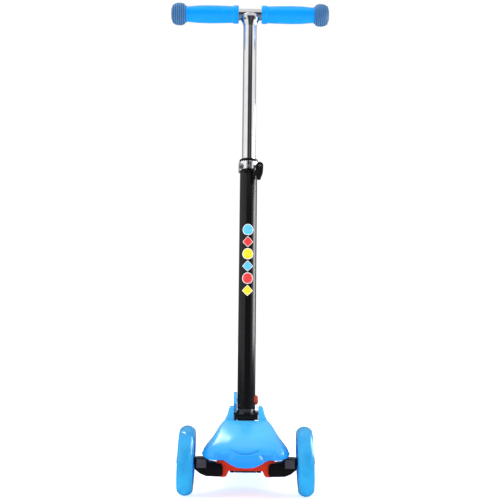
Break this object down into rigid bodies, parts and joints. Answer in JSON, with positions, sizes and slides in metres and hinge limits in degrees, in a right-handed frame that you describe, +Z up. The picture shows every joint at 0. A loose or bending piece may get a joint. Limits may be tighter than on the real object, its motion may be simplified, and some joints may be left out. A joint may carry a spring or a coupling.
{
  "type": "kick scooter",
  "caption": "Children's lean-to-steer kick scooter with a folding, height-adjustable T handlebar, translucent front wheels, a low deck and a rear foot brake.",
  "frame": {"origin": "on the floor, in the middle of the footprint of the whole scooter's box", "axes": "+Z up; the scooter faces -Y; +X is the side of the red release button and of the clamp lever"},
  "size_m": [0.302, 0.5306, 0.9119],
  "materials": {
    "blue_plastic": "moulded polypropylene, light satin gloss",
    "pale_blue_plastic": "moulded plastic, satin",
    "clear_blue_tyre": "translucent cast polyurethane, glossy",
    "hub_blue": "moulded nylon",
    "grip_blue": "soft thermoplastic rubber, fine ribs on the bulbs",
    "red_plastic": "moulded plastic, satin gloss",
    "black_plastic": "glass-filled nylon, fine texture",
    "black_paint": "gloss powder coat",
    "rubber": "matt",
    "chrome": "polished",
    "steel": "zinc plated"
  },
  "bodies": {
    "truck": {"truck_beam": "black_plastic", "underbody_shell": "red_plastic", "underbody_screw_left": "black_plastic", "underbody_screw_right": "black_plastic", "lean_spring_bush": "rubber", "left_axle_bolt": "steel", "right_axle_bolt": "steel"},
    "left_front_wheel": {"left_wheel_tyre": "clear_blue_tyre", "left_wheel_hub": "hub_blue", "left_wheel_inner_bearing": "steel", "left_wheel_outer_bearing": "steel", "left_wheel_spacer": "steel", "left_wheel_light_ring": "pale_blue_plastic"},
    "right_front_wheel": {"right_wheel_tyre": "clear_blue_tyre", "right_wheel_hub": "hub_blue", "right_wheel_inner_bearing": "steel", "right_wheel_outer_bearing": "steel", "right_wheel_spacer": "steel", "right_wheel_light_ring": "pale_blue_plastic"},
    "chassis": {"chassis_bracket": "steel", "kingpin": "steel", "kingpin_nut": "steel", "front_housing": "blue_plastic", "cover_screw_left": "steel", "cover_screw_right": "steel", "latch_plate": "pale_blue_plastic", "deck": "blue_plastic", "deck_mat": "rubber", "deck_screw_front": "steel", "deck_screw_rear": "steel", "hinge_bolt": "steel", "hinge_nut": "steel", "rear_axle_bolt": "steel", "rear_axle_nut": "steel", "brake_pin": "steel"},
    "rear_wheel": {"rear_wheel_tyre": "clear_blue_tyre", "rear_wheel_hub": "hub_blue", "rear_wheel_inner_bearing": "steel", "rear_wheel_outer_bearing": "steel", "rear_wheel_spacer": "steel"},
    "brake": {"brake_fender": "blue_plastic", "brake_pad": "steel", "brake_spring": "steel"},
    "post": {"hinge_block": "black_plastic", "lower_tube": "black_paint", "tube_bush": "black_plastic", "button_spring": "steel", "clamp_collar": "chrome", "clamp_skewer": "steel", "clamp_nut": "steel"},
    "release": {"release_button": "red_plastic", "lock_pin": "steel"},
    "lever": {"clamp_lever": "black_plastic", "lever_pin": "steel"},
    "handlebar": {"upper_tube": "chrome", "crossbar": "chrome", "tube_foot": "black_plastic", "left_grip": "grip_blue", "right_grip": "grip_blue"}
  },
  "joints": [
    {"name": "lean", "type": "hinge", "parent": "truck", "child": "chassis", "pos_m": [0, -0.20525, 0.06], "axis": [0, 0.9397, -0.342], "range_deg": [-10, 10], "stiffness_Nm_per_rad": 70},
    {"name": "left_front_wheel_spin", "type": "hinge", "parent": "truck", "child": "left_front_wheel", "pos_m": [-0.103, -0.20525, 0.05997], "axis": [0.9994, 0, -0.0349], "continuous": true},
    {"name": "right_front_wheel_spin", "type": "hinge", "parent": "truck", "child": "right_front_wheel", "pos_m": [0.103, -0.20525, 0.05997], "axis": [0.9994, 0, 0.0349], "continuous": true},
    {"name": "rear_wheel_spin", "type": "hinge", "parent": "chassis", "child": "rear_wheel", "pos_m": [0, 0.21475, 0.04], "axis": [1, 0, 0], "continuous": true},
    {"name": "brake_press", "type": "hinge", "parent": "chassis", "child": "brake", "pos_m": [0, 0.16475, 0.0695], "axis": [-1, 0, 0], "range_deg": [0, 5.3], "stiffness_Nm_per_rad": 0.6, "springref_deg": -11.46},
    {"name": "post_fold", "type": "hinge", "parent": "chassis", "child": "post", "pos_m": [0, -0.17125, 0.14], "axis": [-1, 0, 0], "range_deg": [0, 80]},
    {"name": "release_press", "type": "slide", "parent": "post", "child": "release", "axis": [-1, 0, 0], "range_m": [0, 0.004], "stiffness_N_per_m": 400, "springref_m": -0.003},
    {"name": "height_slide", "type": "slide", "parent": "post", "child": "handlebar", "axis": [0, 0.1392, 0.9903], "range_m": [-0.2, 0]},
    {"name": "clamp_open", "type": "hinge", "parent": "post", "child": "lever", "pos_m": [0.02, -0.13069, 0.5867], "axis": [0, -0.9903, 0.1392], "range_deg": [0, 150]}
  ]
}
